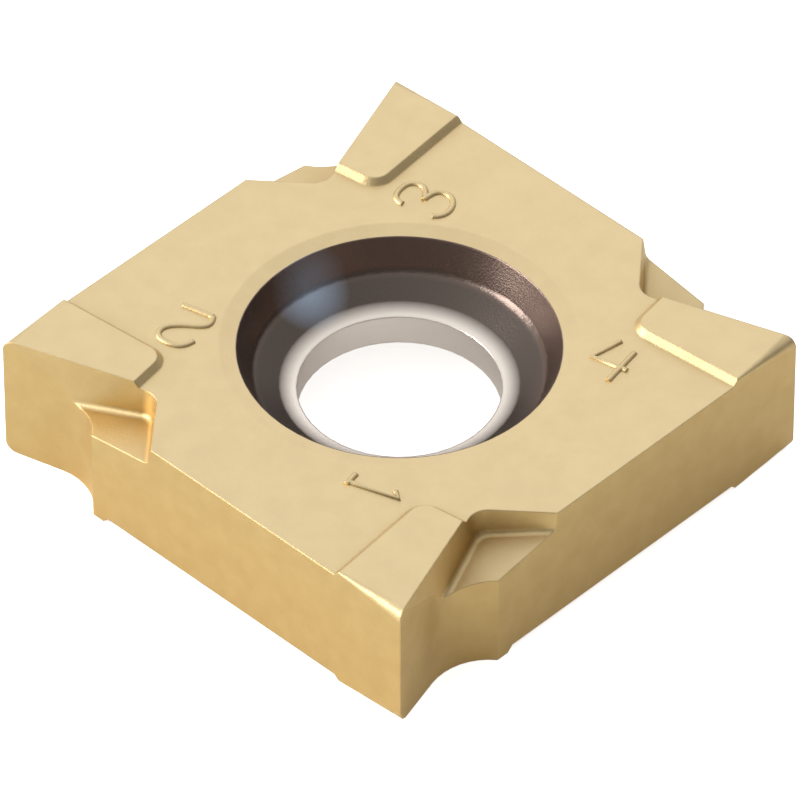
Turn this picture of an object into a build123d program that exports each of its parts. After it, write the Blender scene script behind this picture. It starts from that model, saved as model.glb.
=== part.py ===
from build123d import *
import math
import os

# Square four-edge cutting insert, pressed and sintered in one piece.
# Frame: origin on the hole axis at the lowest faces, +Z up towards the numbered side.
# The four sides lie along X and Y. Tooth one is worked out at the +X -Y corner and the
# other three are copies turned about the hole axis. Sizes are in millimetres.

# Plate
side = 11.0
body_thickness = 2.64
land_rise = 0.13

# Raised land beside each cutting edge, on both faces
land_root = 1.88
land_root_near_hole = 2.14
land_length = 2.63
land_end_angle = 8.7
land_inner_radius = 0.45
land_wall_angle = 45.0

# Chip notch through the whole thickness
tip_inset = 0.12
notch_reach = 2.55
notch_depth = 0.50
notch_radius = 1.25

# Chip pocket sunk into the upper part of the notch
pocket_rake_angle = 19.4
pocket_reach = 4.22
pocket_far_angle = 40.2
pocket_rim_radius = 0.45
pocket_wall_angle = 9.0
pocket_shelf_height = 2.10
pocket_shelf_fall = 0.16
pocket_shelf_radius = 0.12

# Rounding at both ends of each cutting edge, growing from the land's root to the tip
nose_radius = 0.32
nose_radius_at_root = 0.03

# Screw hole, countersunk from both faces
throat_radius = 2.00
throat_top = 1.64
throat_bottom = 0.97
countersink_radius = 3.17
countersink_lip = 0.10
countersink_wall_angle = 24.0
countersink_bowl_radius = 0.42
countersink_shoulder_radius = 0.34
lower_countersink_radius = 2.95

# Shallow ring pressed round the countersink
ring_radius = 3.51
ring_depth = 0.06

half_side = side / 2
body_bottom = land_rise
body_top = body_bottom + body_thickness
overall_height = body_top + land_rise
margin = 1.0
tooth_turns = (0, 90, 180, 270)


def square_block():
    """Return the square prism that every face of the insert stays within."""
    return extrude(Rectangle(side, side), amount=overall_height)


def body_plate():
    """Return the plain square plate between the lands."""
    return Pos(0, 0, body_bottom) * extrude(Rectangle(side, side), amount=body_thickness)


def land_outline():
    """Return the footprint of tooth one's land, carried past the sides and the notch."""
    corner_x = half_side - land_root_near_hole
    corner_y = -half_side + land_length
    root_lean = (land_root_near_hole - land_root) / land_length
    outside_x = half_side + margin
    outside_y = -half_side - margin
    end_y = corner_y + (outside_x - corner_x) * math.tan(math.radians(land_end_angle))
    footprint = make_face(
        Polyline(
            (corner_x + root_lean * (land_length + margin), outside_y),
            (outside_x, outside_y),
            (outside_x, end_y),
            (corner_x, corner_y),
            close=True,
        )
    )
    inner_corner = footprint.vertices().sort_by_distance((corner_x, corner_y, 0))[0]
    return fillet(inner_corner, land_inner_radius)


def land_pads():
    """Return tooth one's raised pads above and below the plate, with sloping walls."""
    pad = extrude(land_outline(), amount=land_rise, taper=land_wall_angle)
    upper = Pos(0, 0, body_top) * pad
    lower = Pos(0, 0, body_bottom) * mirror(pad, about=Plane.XY)
    return [upper, lower]


def notch_cutter():
    """Return the upright cutter that leaves the flat rake face and its round root."""
    tip = Vector(half_side - tip_inset, -half_side)
    half_chord = math.sqrt(2 * notch_radius * notch_depth - notch_depth**2)
    centre = Vector(
        half_side - notch_depth + notch_radius, -half_side + notch_reach - half_chord
    )
    to_centre = centre - tip
    tangent_length = math.sqrt(to_centre.length**2 - notch_radius**2)
    towards_centre = math.degrees(math.atan2(to_centre.Y, to_centre.X))
    opening_angle = math.degrees(math.asin(notch_radius / to_centre.length))
    rake_line = Vector(1, 0).rotate(Axis.Z, towards_centre + opening_angle)
    tangent_point = tip + rake_line * tangent_length
    before_tip = tip - rake_line * margin
    wedge = make_face(
        Polyline(
            (before_tip.X, before_tip.Y),
            (centre.X, before_tip.Y),
            (centre.X, centre.Y),
            (tangent_point.X, tangent_point.Y),
            close=True,
        )
    )
    root = Pos(centre.X, centre.Y) * Circle(notch_radius)
    return extrude(wedge + root, amount=overall_height)


def pocket_outline():
    """Return the pocket's rim as seen from above, with its round inner corner."""
    tip = Vector(half_side - tip_inset, -half_side)
    rake_line = Vector(0, 1).rotate(Axis.Z, pocket_rake_angle)
    far_end = Vector(half_side, -half_side + pocket_reach)
    far_line = Vector(1, 0).rotate(Axis.Z, pocket_far_angle)
    across = rake_line.X * far_line.Y - rake_line.Y * far_line.X
    offset = far_end - tip
    along_rake = (offset.X * far_line.Y - offset.Y * far_line.X) / across
    inner = tip + rake_line * along_rake
    before_tip = tip - rake_line * margin
    past_end = far_end + far_line * margin
    rim = make_face(
        Polyline(
            (before_tip.X, before_tip.Y),
            (past_end.X + margin, before_tip.Y),
            (past_end.X, past_end.Y),
            (inner.X, inner.Y),
            close=True,
        )
    )
    inner_corner = rim.vertices().sort_by_distance((inner.X, inner.Y, 0))[0]
    return fillet(inner_corner, pocket_rim_radius)


def pocket_cutter():
    """Return the cutter for the pocket: sloping walls and a shelf that falls to the notch."""
    depth = overall_height - body_bottom
    walls = Pos(0, 0, overall_height) * extrude(
        pocket_outline(), amount=-depth, taper=pocket_wall_angle
    )
    shelf = Plane(
        origin=(half_side, -half_side + notch_reach, pocket_shelf_height),
        x_dir=(1, 0, 0),
        z_dir=(0, -pocket_shelf_fall, 1),
    )
    above_shelf = extrude(shelf * Rectangle(2 * side, 2 * side), amount=side)
    pocket = walls & above_shelf
    floor = pocket.faces().sort_by(Axis.Z)[0]
    return fillet(floor.edges(), pocket_shelf_radius)


def nose_section(x, radius):
    """Return the corner left outside a rounding of this radius, on the side facing -Y."""
    square_corner = Plane.YZ.offset(x) * Pos(-half_side, overall_height) * Rectangle(
        2 * radius, 2 * radius
    )
    disc = Plane.YZ.offset(x) * Pos(-half_side + radius, overall_height - radius) * Circle(radius)
    return square_corner - disc


def nose_cutters():
    """Return the growing roundings above and below tooth one's flank edge."""
    root_x = half_side - land_root
    upper = loft(
        [
            nose_section(root_x, nose_radius_at_root),
            nose_section(half_side + margin / 2, nose_radius),
        ],
        ruled=True,
    )
    mid_height = Plane.XY.offset(overall_height / 2)
    return [upper, mirror(upper, about=mid_height)]


def hole_profile():
    """Return half the section of the screw hole, for turning about the Z axis."""
    lip = body_top - ring_depth
    upper_wall_foot = throat_top + countersink_bowl_radius
    wall_run = math.tan(math.radians(countersink_wall_angle))
    upper_foot_radius = countersink_radius - (lip - upper_wall_foot) * wall_run
    shoulder_radius = throat_radius + countersink_shoulder_radius
    lower_wall_foot = throat_bottom - countersink_bowl_radius
    lower_foot_radius = lower_countersink_radius - (lower_wall_foot - body_bottom) * wall_run
    outline = make_face(
        Polyline(
            (0, body_bottom - margin),
            (lower_countersink_radius, body_bottom - margin),
            (lower_countersink_radius, body_bottom),
            (lower_foot_radius, lower_wall_foot),
            (shoulder_radius, throat_bottom - countersink_lip),
            (throat_radius, throat_bottom),
            (throat_radius, throat_top),
            (shoulder_radius, throat_top + countersink_lip),
            (upper_foot_radius, upper_wall_foot),
            (countersink_radius, lip),
            (ring_radius, body_top),
            (ring_radius, body_top + margin),
            (0, body_top + margin),
            close=True,
        )
    )
    bowl = outline.vertices().filter_by(
        lambda v: abs(v.X - upper_foot_radius) < 1e-6 or abs(v.X - lower_foot_radius) < 1e-6
    )
    outline = fillet(bowl, countersink_bowl_radius / 2)
    shoulders = outline.vertices().filter_by(lambda v: abs(v.X - shoulder_radius) < 1e-6)
    return fillet(shoulders, countersink_shoulder_radius / 2)


def hole_cutter():
    """Return the turned cutter for the throat, both countersinks and the ring."""
    return revolve(Plane.XZ * hole_profile(), axis=Axis.Z)


def four_times(shapes):
    """Return the shapes of tooth one at all four corners."""
    return [Rot(0, 0, turn) * shape for turn in tooth_turns for shape in shapes]


def insert_body():
    """Return the whole insert as one solid."""
    blank = body_plate().fuse(*four_times(land_pads())) & square_block()
    cutters = [notch_cutter(), pocket_cutter()] + nose_cutters()
    blank = blank.cut(*four_times(cutters))
    return blank.cut(hole_cutter()).clean()


os.makedirs("parts", exist_ok=True)
export_step(insert_body(), "parts/insert_body.step")
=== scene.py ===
import math

import bpy
from mathutils import Matrix, Vector


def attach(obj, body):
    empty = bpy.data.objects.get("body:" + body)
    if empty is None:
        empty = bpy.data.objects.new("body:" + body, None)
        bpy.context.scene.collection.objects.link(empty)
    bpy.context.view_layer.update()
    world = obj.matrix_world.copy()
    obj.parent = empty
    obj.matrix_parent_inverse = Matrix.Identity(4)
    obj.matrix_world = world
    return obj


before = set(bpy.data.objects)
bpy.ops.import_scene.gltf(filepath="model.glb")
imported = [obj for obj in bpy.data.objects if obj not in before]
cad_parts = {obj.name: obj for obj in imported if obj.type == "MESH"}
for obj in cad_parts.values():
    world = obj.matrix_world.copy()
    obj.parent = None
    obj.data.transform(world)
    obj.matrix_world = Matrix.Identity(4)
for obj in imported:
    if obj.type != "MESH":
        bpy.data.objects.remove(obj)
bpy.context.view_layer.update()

MM = 0.001
WHITE = (1.0, 1.0, 1.0, 1.0)

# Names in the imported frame
NODE = "insert_body"
BODY = "root"

# Heights of the plate between the lands
PLATE_UNDERSIDE = 0.13 * MM
PLATE_TOP = 2.77 * MM

# Camera, solved from the photograph. It looks at a point this far right of and above
# the hole's axis at the plate's underside, as the camera sees it.
LENS_MM = 512.2
SENSOR_MM = 36.0
CAMERA_DISTANCE = 222.5 * MM
CAMERA_ELEVATION = math.radians(42.89)
CAMERA_AZIMUTH = math.radians(-45.7)
CAMERA_ROLL = math.radians(-0.07)
AIM_RIGHT = 0.008 * MM
AIM_ABOVE = 0.843 * MM
CLIP_START = 10 * MM
CLIP_END = 10.0

# Soft boxes: place and width in metres, power in watts
SOFT_BOXES = {
    "back_box": ((-0.16, 0.20, 0.17), 0.20, 0.045),
    "left_box": ((-0.20, -0.22, 0.12), 0.20, 0.78),
}

# The room's light, from its dark side to its bright one, which is above, behind and to
# the left of the insert as the camera sees it
ROOM_BRIGHT_SIDE = (-0.70, 0.20, 0.69)
ROOM_SHADES = [
    (0.0, (0.10, 0.10, 0.10, 1.0)),
    (0.45, (0.22, 0.22, 0.22, 1.0)),
    (0.75, (0.70, 0.70, 0.70, 1.0)),
    (1.0, (0.95, 0.95, 0.95, 1.0)),
]

# Floor, with a glow that keeps it white, fainter where the metal reflects it
FLOOR_HALF_WIDTH = 1.5
FLOOR_COLOUR = (0.95, 0.95, 0.95, 1.0)
FLOOR_ROUGHNESS = 0.9
FLOOR_GLOW = 0.75
FLOOR_GLOW_IN_METAL = 0.10

# Gold coating: a dull and a bright tone, mottled, paler for the faces that lie level and
# darker and deeper on the sides as painted shade, and a deep painted shade in hollows
TOP_LIT_GOLD_DULL = (0.74, 0.59, 0.34, 1.0)
TOP_LIT_GOLD = (0.77, 0.62, 0.36, 1.0)
FLANK_SHADED_GOLD_DULL = (0.69, 0.49, 0.205, 1.0)
FLANK_SHADED_GOLD = (0.73, 0.53, 0.23, 1.0)
PAINTED_SHADE_GOLD = (0.42, 0.25, 0.06, 1.0)
GOLD_ROUGHNESS = 0.46
MOTTLE_SIZE = 0.5 * MM
MOTTLE_DETAIL = 4.0
MOTTLE_DULL_AT = 0.35
MOTTLE_BRIGHT_AT = 0.65
PAINTED_SHADE_REACH = 1.6 * MM
PAINTED_SHADE_SAMPLES = 8

# Bare carbide inside this radius, coloured by height from the throat up the wall: a pale
# painted highlight on the throat, dark painted shade on the ramp above it, then a less dark
# tone up the wall
BARE_RADIUS = 3.18 * MM
BARE_FROM = 1.4 * MM
BARE_TO = 2.7 * MM
BARE_THROAT_HIGHLIGHT = (0.90, 0.82, 0.74, 1.0)
BARE_RAMP_SHADE = (0.13, 0.105, 0.09, 1.0)
BARE_WALL = (0.28, 0.20, 0.165, 1.0)
BARE_TONES_AND_PAINTED_LIGHT = [(0.20, BARE_THROAT_HIGHLIGHT), (0.27, BARE_RAMP_SHADE), (0.45, BARE_RAMP_SHADE), (0.60, BARE_WALL)]
BARE_ROUGHNESS = 0.30

# Iridescent patch on the wall of the countersink
TINT_COLOUR = (0.50, 0.62, 0.80, 1.0)
TINT_PLACE = (-2.75 * MM, 0.35 * MM, 2.30 * MM)
TINT_CORE = 0.1 * MM
TINT_REACH = 0.9 * MM
TINT_SHARE = 0.8

# Sintered grain, and the rounding that catches light along the edges
GRAIN_SIZE = 0.045 * MM
GRAIN_DETAIL = 3.0
GRAIN_STRENGTH = 0.45
GRAIN_DEPTH = 0.010 * MM
EDGE_ROUNDING = 0.05 * MM
EDGE_SAMPLES = 6

# Sockets of the mixing node that work on colours, by number because their names repeat
MIX_SHARE = 0
MIX_FIRST = 6
MIX_SECOND = 7
MIX_RESULT = 2

# Numerals: where each stands in its tooth's own corner, and how it leans
NUMERAL_PLACE = (2.55 * MM, -3.33 * MM)
NUMERAL_LEAN = math.radians(13.8)
TOOTH_TURNS = {"one": 0, "four": 90, "three": 180, "two": 270}

# Their raised strokes, as (across, up) in millimetres from the numeral's middle
STROKE_RADIUS = 0.070 * MM
STROKE_SINK = 0.018 * MM
STROKE_BEVEL_STEPS = 4
CURVE_STEPS = 8
CURVE_ORDER = 3
STRAIGHT = "POLY"
ROUND = "NURBS"
NUMERALS = {
    "one": [
        (STRAIGHT, [(-0.20, 0.37), (-0.05, 0.53), (0.02, -0.54)]),
        (STRAIGHT, [(-0.24, -0.53), (0.10, -0.55)]),
    ],
    "two": [
        (ROUND, [(-0.36, 0.28), (-0.30, 0.50), (0.02, 0.60), (0.36, 0.50), (0.36, 0.20),
                 (0.05, -0.02), (-0.30, -0.16), (-0.42, -0.32), (-0.33, -0.51)]),
        (STRAIGHT, [(-0.33, -0.51), (0.35, -0.51)]),
    ],
    "three": [
        (ROUND, [(-0.31, 0.32), (-0.30, 0.52), (0.00, 0.60), (0.34, 0.50), (0.34, 0.12),
                 (0.00, 0.02)]),
        (ROUND, [(0.00, 0.02), (0.34, -0.02), (0.40, -0.38), (0.10, -0.60), (-0.25, -0.55),
                 (-0.34, -0.36)]),
    ],
    "four": [
        (STRAIGHT, [(-0.17, 0.55), (-0.43, -0.12), (0.35, -0.12)]),
        (STRAIGHT, [(0.22, 0.40), (0.17, -0.56)]),
    ],
}


def set_view():
    """Show colours as they are written."""
    bpy.context.scene.view_settings.view_transform = "Standard"


def camera_axes():
    """Return the camera's forward, right and up directions."""
    level = math.cos(CAMERA_ELEVATION)
    forward = -Vector((
        level * math.cos(CAMERA_AZIMUTH),
        level * math.sin(CAMERA_AZIMUTH),
        math.sin(CAMERA_ELEVATION),
    ))
    right = Vector((-math.sin(CAMERA_AZIMUTH), math.cos(CAMERA_AZIMUTH), 0.0))
    up = right.cross(forward)
    roll = Matrix.Rotation(-CAMERA_ROLL, 3, forward)
    return forward, roll @ right, roll @ up


def add_camera():
    """Stand the camera where the photograph was taken."""
    forward, right, up = camera_axes()
    data = bpy.data.cameras.new("camera")
    data.lens = LENS_MM
    data.sensor_width = SENSOR_MM
    data.sensor_fit = "HORIZONTAL"
    data.clip_start = CLIP_START
    data.clip_end = CLIP_END
    camera = bpy.data.objects.new("camera", data)
    turn = Matrix((right, up, -forward)).transposed()
    place = -forward * CAMERA_DISTANCE + right * AIM_RIGHT + up * AIM_ABOVE
    place.z += PLATE_UNDERSIDE
    camera.matrix_world = Matrix.Translation(place) @ turn.to_4x4()
    bpy.context.scene.collection.objects.link(camera)
    bpy.context.scene.camera = camera


def add_soft_box(name, place, width, power):
    """Add a square soft box that faces the insert."""
    data = bpy.data.lights.new(name, "AREA")
    data.shape = "SQUARE"
    data.size = width
    data.energy = power
    light = bpy.data.objects.new(name, data)
    light.location = place
    light.rotation_euler = (-Vector(place)).to_track_quat("-Z", "Y").to_euler()
    bpy.context.scene.collection.objects.link(light)


def math_node(nodes, operation, *values):
    """Add a maths node and fill in the plain numbers among its inputs."""
    node = nodes.new("ShaderNodeMath")
    node.operation = operation
    for index, value in enumerate(values):
        if value is not None:
            node.inputs[index].default_value = value
    return node


def colour_ramp(nodes, links, value, stops):
    """Colour a value by a ramp with these positions and colours."""
    ramp = nodes.new("ShaderNodeValToRGB")
    elements = ramp.color_ramp.elements
    elements[0].position, elements[0].color = stops[0]
    elements[1].position, elements[1].color = stops[-1]
    for position, colour in stops[1:-1]:
        element = elements.new(position)
        element.color = colour
    links.new(value, ramp.inputs["Fac"])
    return ramp.outputs["Color"]


def mix_colours(nodes, links, share, first, second):
    """Mix two colours, each a socket or a plain colour."""
    mix = nodes.new("ShaderNodeMix")
    mix.data_type = "RGBA"
    links.new(share, mix.inputs[MIX_SHARE])
    for index, colour in ((MIX_FIRST, first), (MIX_SECOND, second)):
        if isinstance(colour, tuple):
            mix.inputs[index].default_value = colour
        else:
            links.new(colour, mix.inputs[index])
    return mix.outputs[MIX_RESULT]


def map_range(nodes, links, value, start, end, at_start=0.0, at_end=1.0):
    """Carry a value between two limits over to another pair."""
    node = nodes.new("ShaderNodeMapRange")
    node.inputs["From Min"].default_value = start
    node.inputs["From Max"].default_value = end
    node.inputs["To Min"].default_value = at_start
    node.inputs["To Max"].default_value = at_end
    links.new(value, node.inputs["Value"])
    return node.outputs["Result"]


def noise(nodes, links, place, size, detail):
    """Return a noise whose grain has this size on the insert."""
    node = nodes.new("ShaderNodeTexNoise")
    node.inputs["Scale"].default_value = 1.0 / size
    node.inputs["Detail"].default_value = detail
    links.new(place.outputs["Object"], node.inputs["Vector"])
    return node.outputs["Fac"]


def room_colour(nodes, links):
    """Shade the room from its dark side to its bright one."""
    direction = nodes.new("ShaderNodeTexCoord")
    towards_bright = nodes.new("ShaderNodeVectorMath")
    towards_bright.operation = "DOT_PRODUCT"
    towards_bright.inputs[1].default_value = ROOM_BRIGHT_SIDE
    links.new(direction.outputs["Generated"], towards_bright.inputs[0])
    half = math_node(nodes, "MULTIPLY_ADD", None, 0.5, 0.5)
    links.new(towards_bright.outputs["Value"], half.inputs[0])
    return colour_ramp(nodes, links, half.outputs["Value"], ROOM_SHADES)


def set_world():
    """Light the insert by the shaded room and show the camera plain white."""
    world = bpy.data.worlds.new("studio")
    bpy.context.scene.world = world
    world.use_nodes = True
    nodes = world.node_tree.nodes
    links = world.node_tree.links
    nodes.clear()
    room = nodes.new("ShaderNodeBackground")
    links.new(room_colour(nodes, links), room.inputs["Color"])
    seen = nodes.new("ShaderNodeBackground")
    seen.inputs["Color"].default_value = WHITE
    path = nodes.new("ShaderNodeLightPath")
    mix = nodes.new("ShaderNodeMixShader")
    links.new(path.outputs["Is Camera Ray"], mix.inputs["Fac"])
    links.new(room.outputs["Background"], mix.inputs[1])
    links.new(seen.outputs["Background"], mix.inputs[2])
    output = nodes.new("ShaderNodeOutputWorld")
    links.new(mix.outputs["Shader"], output.inputs["Surface"])


def floor_glow(nodes, links):
    """Return the floor's glow: one strength for the camera, a lower one for reflections."""
    path = nodes.new("ShaderNodeLightPath")
    reflected = math_node(nodes, "MAXIMUM")
    links.new(path.outputs["Is Glossy Ray"], reflected.inputs[0])
    links.new(path.outputs["Is Transmission Ray"], reflected.inputs[1])
    for_metal = math_node(nodes, "MULTIPLY", None, FLOOR_GLOW_IN_METAL)
    links.new(reflected.outputs["Value"], for_metal.inputs[0])
    glow = math_node(nodes, "MULTIPLY_ADD", None, FLOOR_GLOW)
    links.new(path.outputs["Is Camera Ray"], glow.inputs[0])
    links.new(for_metal.outputs["Value"], glow.inputs[2])
    return glow.outputs["Value"]


def floor_paint():
    """Return the floor's matt white paint."""
    paint = bpy.data.materials.new("floor_white")
    paint.use_nodes = True
    nodes = paint.node_tree.nodes
    links = paint.node_tree.links
    shader = nodes["Principled BSDF"]
    shader.inputs["Base Color"].default_value = FLOOR_COLOUR
    shader.inputs["Roughness"].default_value = FLOOR_ROUGHNESS
    shader.inputs["Specular IOR Level"].default_value = 0.0
    shader.inputs["Emission Color"].default_value = WHITE
    links.new(floor_glow(nodes, links), shader.inputs["Emission Strength"])
    return paint


def add_floor():
    """Lay a plain white floor under the insert."""
    half = FLOOR_HALF_WIDTH
    corners = [(-half, -half, 0.0), (half, -half, 0.0), (half, half, 0.0), (-half, half, 0.0)]
    mesh = bpy.data.meshes.new("floor")
    mesh.from_pydata(corners, [], [(0, 1, 2, 3)])
    mesh.materials.append(floor_paint())
    floor = bpy.data.objects.new("floor", mesh)
    bpy.context.scene.collection.objects.link(floor)


def gold_with_painted_shade(nodes, links, place):
    """Mottle the gold, with painted shade: darker and deeper on the sides than on level
    faces, and deep in hollows.
    """
    mottle = noise(nodes, links, place, MOTTLE_SIZE, MOTTLE_DETAIL)
    lit_top_stops = [(MOTTLE_DULL_AT, TOP_LIT_GOLD_DULL), (MOTTLE_BRIGHT_AT, TOP_LIT_GOLD)]
    shaded_flank_stops = [(MOTTLE_DULL_AT, FLANK_SHADED_GOLD_DULL), (MOTTLE_BRIGHT_AT, FLANK_SHADED_GOLD)]
    lit_top_gold = colour_ramp(nodes, links, mottle, lit_top_stops)
    shaded_flank_gold = colour_ramp(nodes, links, mottle, shaded_flank_stops)
    # Painted shade: the sides take the darker, deeper gold and the level faces the paler one
    facing = nodes.new("ShaderNodeSeparateXYZ")
    links.new(place.outputs["Normal"], facing.inputs["Vector"])
    level = math_node(nodes, "ABSOLUTE")
    links.new(facing.outputs["Z"], level.inputs[0])
    gold_and_painted_shade = mix_colours(nodes, links, level.outputs["Value"], shaded_flank_gold, lit_top_gold)
    # Painted shade: the gold darkens to the deep tone where the insert closes in round a
    # point
    painted_shade_openness = nodes.new("ShaderNodeAmbientOcclusion")
    painted_shade_openness.only_local = True
    painted_shade_openness.samples = PAINTED_SHADE_SAMPLES
    painted_shade_openness.inputs["Distance"].default_value = PAINTED_SHADE_REACH
    return mix_colours(nodes, links, painted_shade_openness.outputs["AO"], PAINTED_SHADE_GOLD, gold_and_painted_shade)


def inside_hole(nodes, links, position):
    """Return one nearer to the hole's axis than the bare radius and nought elsewhere."""
    flat = nodes.new("ShaderNodeCombineXYZ")
    links.new(position.outputs["X"], flat.inputs["X"])
    links.new(position.outputs["Y"], flat.inputs["Y"])
    radius = nodes.new("ShaderNodeVectorMath")
    radius.operation = "LENGTH"
    links.new(flat.outputs["Vector"], radius.inputs[0])
    inside = math_node(nodes, "LESS_THAN", None, BARE_RADIUS)
    links.new(radius.outputs["Value"], inside.inputs[0])
    return inside.outputs["Value"]


def bare_colour_and_painted_light(nodes, links, place, position):
    """Colour the bare carbide by height, with a painted highlight on the throat and painted
    shade above it, and the iridescent patch on its wall.
    """
    height = map_range(nodes, links, position.outputs["Z"], BARE_FROM, BARE_TO)
    # Painted light and shade: the pale throat stop is a painted highlight, the dark ramp
    # stops painted shade
    bare_and_painted_light = colour_ramp(nodes, links, height, BARE_TONES_AND_PAINTED_LIGHT)
    from_patch = nodes.new("ShaderNodeVectorMath")
    from_patch.operation = "DISTANCE"
    from_patch.inputs[1].default_value = TINT_PLACE
    links.new(place.outputs["Object"], from_patch.inputs[0])
    share = map_range(
        nodes, links, from_patch.outputs["Value"], TINT_CORE, TINT_REACH, TINT_SHARE, 0.0
    )
    return mix_colours(nodes, links, share, bare_and_painted_light, TINT_COLOUR)


def sintered_normal(nodes, links, place):
    """Return the normal with the fine sintered grain and slightly rounded edges."""
    edge = nodes.new("ShaderNodeBevel")
    edge.samples = EDGE_SAMPLES
    edge.inputs["Radius"].default_value = EDGE_ROUNDING
    bump = nodes.new("ShaderNodeBump")
    bump.inputs["Strength"].default_value = GRAIN_STRENGTH
    bump.inputs["Distance"].default_value = GRAIN_DEPTH
    grain = noise(nodes, links, place, GRAIN_SIZE, GRAIN_DETAIL)
    links.new(grain, bump.inputs["Height"])
    links.new(edge.outputs["Normal"], bump.inputs["Normal"])
    return bump.outputs["Normal"]


def coated_carbide():
    """Return the gold coating with its painted shade, and bare carbide with painted highlight
    and shade inside the hole.
    """
    material = bpy.data.materials.new("coated_carbide")
    material.use_nodes = True
    nodes = material.node_tree.nodes
    links = material.node_tree.links
    shader = nodes["Principled BSDF"]
    shader.inputs["Metallic"].default_value = 1.0
    place = nodes.new("ShaderNodeTexCoord")
    position = nodes.new("ShaderNodeSeparateXYZ")
    links.new(place.outputs["Object"], position.inputs["Vector"])
    inside = inside_hole(nodes, links, position)
    gold_and_painted_shade = gold_with_painted_shade(nodes, links, place)
    bare_and_painted_light = bare_colour_and_painted_light(nodes, links, place, position)
    links.new(mix_colours(nodes, links, inside, gold_and_painted_shade, bare_and_painted_light), shader.inputs["Base Color"])
    roughness = map_range(nodes, links, inside, 0.0, 1.0, GOLD_ROUGHNESS, BARE_ROUGHNESS)
    links.new(roughness, shader.inputs["Roughness"])
    links.new(sintered_normal(nodes, links, place), shader.inputs["Normal"])
    return material


def dress_insert(material):
    """Give the CAD solid its finish."""
    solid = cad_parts[NODE]
    solid.data.materials.clear()
    solid.data.materials.append(material)


def add_stroke(data, kind, points, turn, place):
    """Add one raised stroke to a numeral's curve."""
    spline = data.splines.new(kind)
    spline.points.add(len(points) - 1)
    for point, (across, along) in zip(spline.points, points):
        spot = place + turn @ Vector((along * MM, -across * MM, 0.0))
        point.co = (spot.x, spot.y, spot.z, 1.0)
    if kind == ROUND:
        spline.order_u = CURVE_ORDER
        spline.use_endpoint_u = True
        spline.resolution_u = CURVE_STEPS


def add_numeral(name, material):
    """Raise one numeral beside its tooth."""
    tooth = Matrix.Rotation(math.radians(TOOTH_TURNS[name]), 3, "Z")
    turn = tooth @ Matrix.Rotation(NUMERAL_LEAN, 3, "Z")
    place = tooth @ Vector((*NUMERAL_PLACE, PLATE_TOP - STROKE_SINK))
    data = bpy.data.curves.new("numeral_" + name, "CURVE")
    data.dimensions = "3D"
    data.bevel_depth = STROKE_RADIUS
    data.bevel_resolution = STROKE_BEVEL_STEPS
    data.use_fill_caps = True
    for kind, points in NUMERALS[name]:
        add_stroke(data, kind, points, turn, place)
    data.materials.append(material)
    piece = bpy.data.objects.new("numeral_" + name, data)
    bpy.context.scene.collection.objects.link(piece)
    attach(piece, BODY)


set_view()
set_world()
add_floor()
for box_name, (box_place, box_width, box_power) in SOFT_BOXES.items():
    add_soft_box(box_name, box_place, box_width, box_power)
add_camera()
coating = coated_carbide()
dress_insert(coating)
for numeral in NUMERALS:
    add_numeral(numeral, coating)
